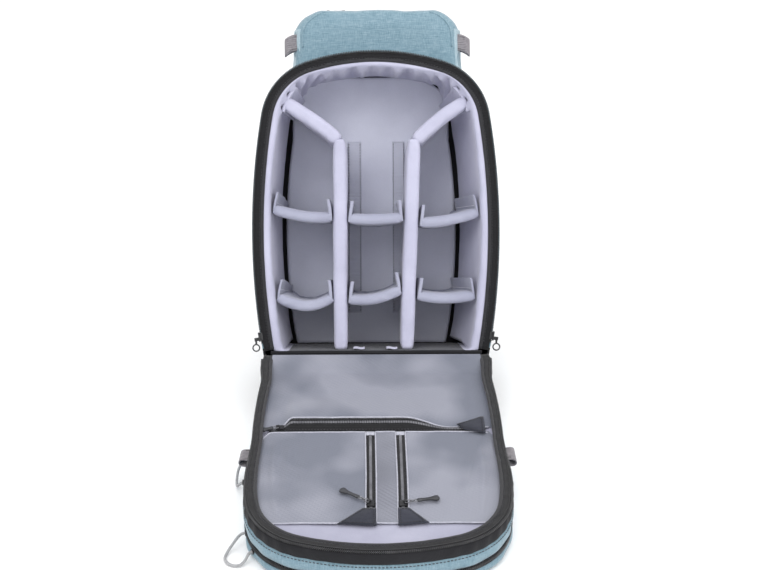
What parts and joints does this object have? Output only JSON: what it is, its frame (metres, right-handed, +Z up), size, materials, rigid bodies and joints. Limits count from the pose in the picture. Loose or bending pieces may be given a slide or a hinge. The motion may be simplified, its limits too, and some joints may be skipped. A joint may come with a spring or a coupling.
{
  "type": "camera backpack",
  "caption": "Clamshell camera backpack standing open: padded case with movable dividers, hood pocket, shoulder straps and a fold-down front panel with zipped mesh pockets.",
  "frame": {"origin": "middle of the open front panel's flat underside, on the floor", "axes": "+X to the bag's left-hand side as worn and to the right of a viewer facing the open case, +Y from the panel towards the case, +Z up"},
  "size_m": [0.3172, 0.6723, 0.4427],
  "materials": {
    "teal_fabric": "matte",
    "black_fabric": "matte",
    "black_zip_tape": "matte",
    "zip_teeth": "satin",
    "dark_binding": "matte",
    "back_mesh": "matte",
    "board": "matte",
    "grey_lining": "matte",
    "grey_back_lining": "matte",
    "pocket_mesh": "satin",
    "grey_webbing": "matte",
    "black_plastic": "satin",
    "slider_metal": "satin",
    "pull_rubber": "matte",
    "elastic_cord": "matte"
  },
  "bodies": {
    "case": {"outer_shell": "teal_fabric", "base_boot": "black_fabric", "stiffener_sheet": "board", "back_pad": "back_mesh", "wall_padding": "grey_lining", "back_lining": "grey_back_lining", "case_zip_coil": "zip_teeth", "case_zip_tape": "black_zip_tape", "case_binding": "dark_binding", "hinge_piping": "black_fabric", "hood_pocket": "teal_fabric", "hood_zip": "black_zip_tape", "hood_loops": "grey_webbing", "grab_handle": "grey_webbing", "shoulder_strap_left": "back_mesh", "shoulder_strap_right": "back_mesh", "strap_webbing": "grey_webbing", "ladder_locks": "black_plastic"},
    "panel": {"panel_gusset": "black_fabric", "panel_body": "teal_fabric", "front_pocket": "teal_fabric", "front_pocket_zip": "black_zip_tape", "panel_lining": "grey_lining", "panel_zip_coil": "zip_teeth", "panel_zip_tape": "black_zip_tape", "panel_binding": "dark_binding", "upper_mesh_pocket": "pocket_mesh", "left_mesh_pocket": "pocket_mesh", "right_mesh_pocket": "pocket_mesh", "centre_strip": "pocket_mesh", "upper_pocket_zip": "black_zip_tape", "left_pocket_zip": "black_zip_tape", "right_pocket_zip": "black_zip_tape", "zip_garages": "dark_binding", "panel_loops": "grey_webbing", "cord_eyelets": "black_plastic", "pole_cord_lower": "elastic_cord", "pole_cord_upper": "elastic_cord"},
    "long_divider_left": {"long_divider_left": "grey_lining"},
    "long_divider_right": {"long_divider_right": "grey_lining"},
    "shelf_left_upper": {"shelf_left_upper": "grey_lining"},
    "shelf_left_lower": {"shelf_left_lower": "grey_lining"},
    "shelf_centre_upper": {"shelf_centre_upper": "grey_lining"},
    "shelf_centre_lower": {"shelf_centre_lower": "grey_lining"},
    "shelf_right_upper": {"shelf_right_upper": "grey_lining"},
    "shelf_right_lower": {"shelf_right_lower": "grey_lining"},
    "case_slider_left": {"case_slider_left": "slider_metal"},
    "case_slider_right": {"case_slider_right": "slider_metal"},
    "ring_pull_left": {"ring_pull_left": "slider_metal"},
    "ring_pull_right": {"ring_pull_right": "slider_metal"},
    "hood_slider": {"hood_slider": "slider_metal"},
    "hood_pull": {"hood_pull": "pull_rubber"},
    "upper_slider": {"upper_slider": "slider_metal"},
    "upper_pull": {"upper_pull": "pull_rubber"},
    "left_slider": {"left_slider": "slider_metal"},
    "left_pull": {"left_pull": "pull_rubber"},
    "right_slider": {"right_slider": "slider_metal"},
    "right_pull": {"right_pull": "pull_rubber"},
    "front_slider": {"front_slider": "slider_metal"},
    "front_pull": {"front_pull": "pull_rubber"}
  },
  "joints": [
    {"name": "panel_hinge", "type": "hinge", "parent": "case", "child": "panel", "pos_m": [0, 0.2, 0.07897], "axis": [-1, 0, 0], "range_deg": [0, 118]},
    {"name": "long_divider_left_pull_out", "type": "slide", "parent": "case", "child": "long_divider_left", "axis": [0, 0.9205, -0.3907], "range_m": [-0.11, 0]},
    {"name": "long_divider_right_pull_out", "type": "slide", "parent": "case", "child": "long_divider_right", "axis": [0, 0.9205, -0.3907], "range_m": [-0.11, 0]},
    {"name": "shelf_left_upper_pull_out", "type": "slide", "parent": "case", "child": "shelf_left_upper", "axis": [0, 0.9205, -0.3907], "range_m": [-0.11, 0]},
    {"name": "shelf_left_lower_pull_out", "type": "slide", "parent": "case", "child": "shelf_left_lower", "axis": [0, 0.9205, -0.3907], "range_m": [-0.11, 0]},
    {"name": "shelf_centre_upper_pull_out", "type": "slide", "parent": "case", "child": "shelf_centre_upper", "axis": [0, 0.9205, -0.3907], "range_m": [-0.11, 0]},
    {"name": "shelf_centre_lower_pull_out", "type": "slide", "parent": "case", "child": "shelf_centre_lower", "axis": [0, 0.9205, -0.3907], "range_m": [-0.11, 0]},
    {"name": "shelf_right_upper_pull_out", "type": "slide", "parent": "case", "child": "shelf_right_upper", "axis": [0, 0.9205, -0.3907], "range_m": [-0.11, 0]},
    {"name": "shelf_right_lower_pull_out", "type": "slide", "parent": "case", "child": "shelf_right_lower", "axis": [0, 0.9205, -0.3907], "range_m": [-0.11, 0]},
    {"name": "case_slider_right_run", "type": "hinge", "parent": "case", "child": "case_slider_right", "pos_m": [-0.70227, 0.25621, 0.21139], "axis": [0, -0.9205, 0.3907], "range_deg": [0, 17]},
    {"name": "ring_pull_right_swing", "type": "hinge", "parent": "case_slider_right", "child": "ring_pull_right", "pos_m": [0.14336, 0.20636, 0.09394], "axis": [0, 0.9205, -0.3907], "range_deg": [-100, 0]},
    {"name": "case_slider_left_run", "type": "hinge", "parent": "case", "child": "case_slider_left", "pos_m": [0.70227, 0.25621, 0.21139], "axis": [0, 0.9205, -0.3907], "range_deg": [0, 17]},
    {"name": "ring_pull_left_swing", "type": "hinge", "parent": "case_slider_left", "child": "ring_pull_left", "pos_m": [-0.14336, 0.20636, 0.09394], "axis": [0, -0.9205, 0.3907], "range_deg": [-100, 0]},
    {"name": "hood_slider_run", "type": "slide", "parent": "case", "child": "hood_slider", "axis": [1, 0, 0], "range_m": [0, 0.118]},
    {"name": "hood_pull_lift", "type": "hinge", "parent": "hood_slider", "child": "hood_pull", "pos_m": [-0.0576, 0.43512, 0.43327], "axis": [0, 0.9205, -0.3907], "range_deg": [-100, 0]},
    {"name": "upper_slider_run", "type": "slide", "parent": "panel", "child": "upper_slider", "axis": [1, 0, 0], "range_m": [0, 0.189]},
    {"name": "upper_pull_lift", "type": "hinge", "parent": "upper_slider", "child": "upper_pull", "pos_m": [-0.11026, 0.05611, 0.06207], "axis": [0.342, -0.9361, -0.0819], "range_deg": [-100, 0]},
    {"name": "left_slider_run", "type": "slide", "parent": "panel", "child": "left_slider", "axis": [0, 0.9962, 0.0872], "range_m": [0, 0.108]},
    {"name": "left_pull_lift", "type": "hinge", "parent": "left_slider", "child": "left_pull", "pos_m": [-0.00978, -0.07497, 0.0506], "axis": [-0.6691, -0.7403, -0.0648], "range_deg": [-100, 0]},
    {"name": "right_slider_run", "type": "slide", "parent": "panel", "child": "right_slider", "axis": [0, 0.9962, 0.0872], "range_m": [0, 0.108]},
    {"name": "right_pull_lift", "type": "hinge", "parent": "right_slider", "child": "right_pull", "pos_m": [0.02728, -0.07583, 0.05052], "axis": [-0.309, 0.9474, 0.0829], "range_deg": [-100, 0]},
    {"name": "front_slider_run", "type": "hinge", "parent": "panel", "child": "front_slider", "pos_m": [0, 0.10859, 0.03383], "axis": [0, -0.0872, 0.9962], "range_deg": [0, 17]},
    {"name": "front_pull_lift", "type": "hinge", "parent": "front_slider", "child": "front_pull", "pos_m": [-0.03027, -0.1566, 0.01063], "axis": [0, -0.0872, 0.9962], "range_deg": [-100, 0]}
  ]
}
